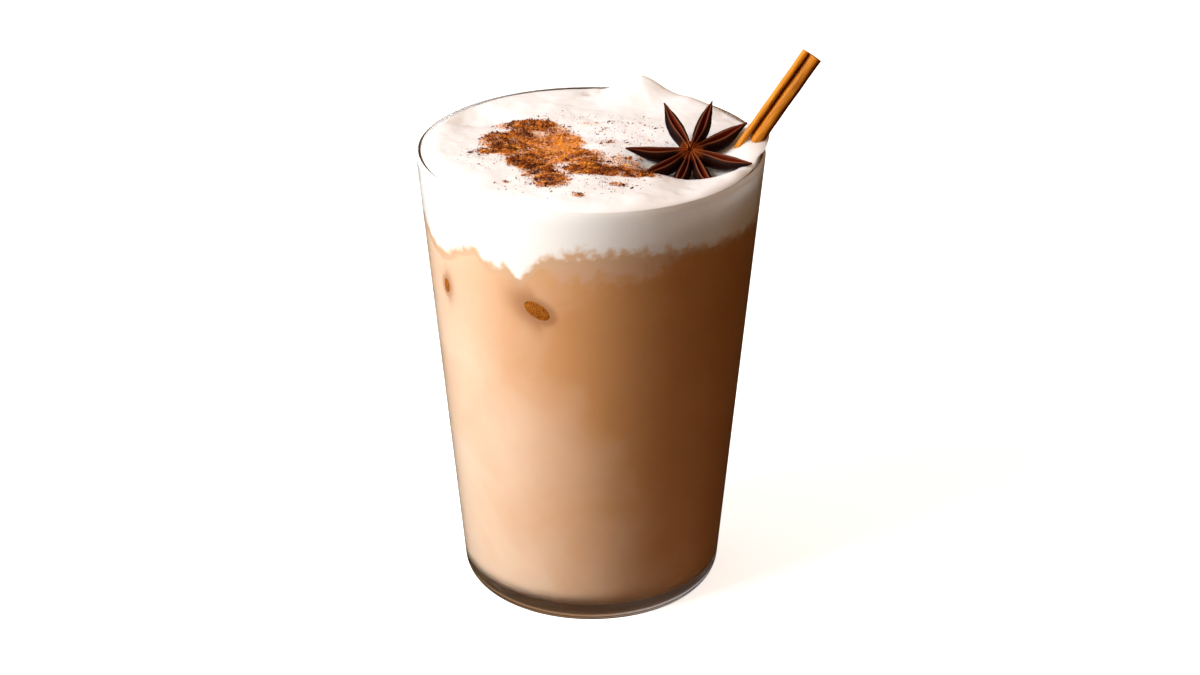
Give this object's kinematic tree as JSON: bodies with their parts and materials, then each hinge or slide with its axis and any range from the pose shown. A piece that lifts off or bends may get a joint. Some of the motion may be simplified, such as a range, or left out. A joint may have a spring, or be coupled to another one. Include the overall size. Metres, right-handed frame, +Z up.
{
  "type": "glass of iced masala chai",
  "caption": "Tall tapered glass of milky spiced tea under thick milk foam, with a star anise and a cinnamon stick leaning on the rim.",
  "frame": {"origin": "centre of the glass's foot, on the table", "axes": "+Z up along the glass's axis, -Y towards the front, +X towards the cinnamon stick"},
  "size_m": [0.0979, 0.0848, 0.1404],
  "materials": {
    "glass": "clear soda-lime glass, fire-polished rim",
    "chai": "milky tea, opaque, wet gloss, browner above and paler below",
    "foam": "whipped milk foam, matt, dusted with ground cinnamon",
    "cinnamon_bark": "dry rolled bark, fine lengthwise grain, matt",
    "star_anise": "dried woody seed pod, wrinkled, matt outside and smoother inside the slits"
  },
  "bodies": {
    "root": {"glass": "glass", "chai": "chai", "foam": "foam", "cinnamon_stick": "cinnamon_bark", "star_anise": "star_anise"}
  },
  "joints": []
}
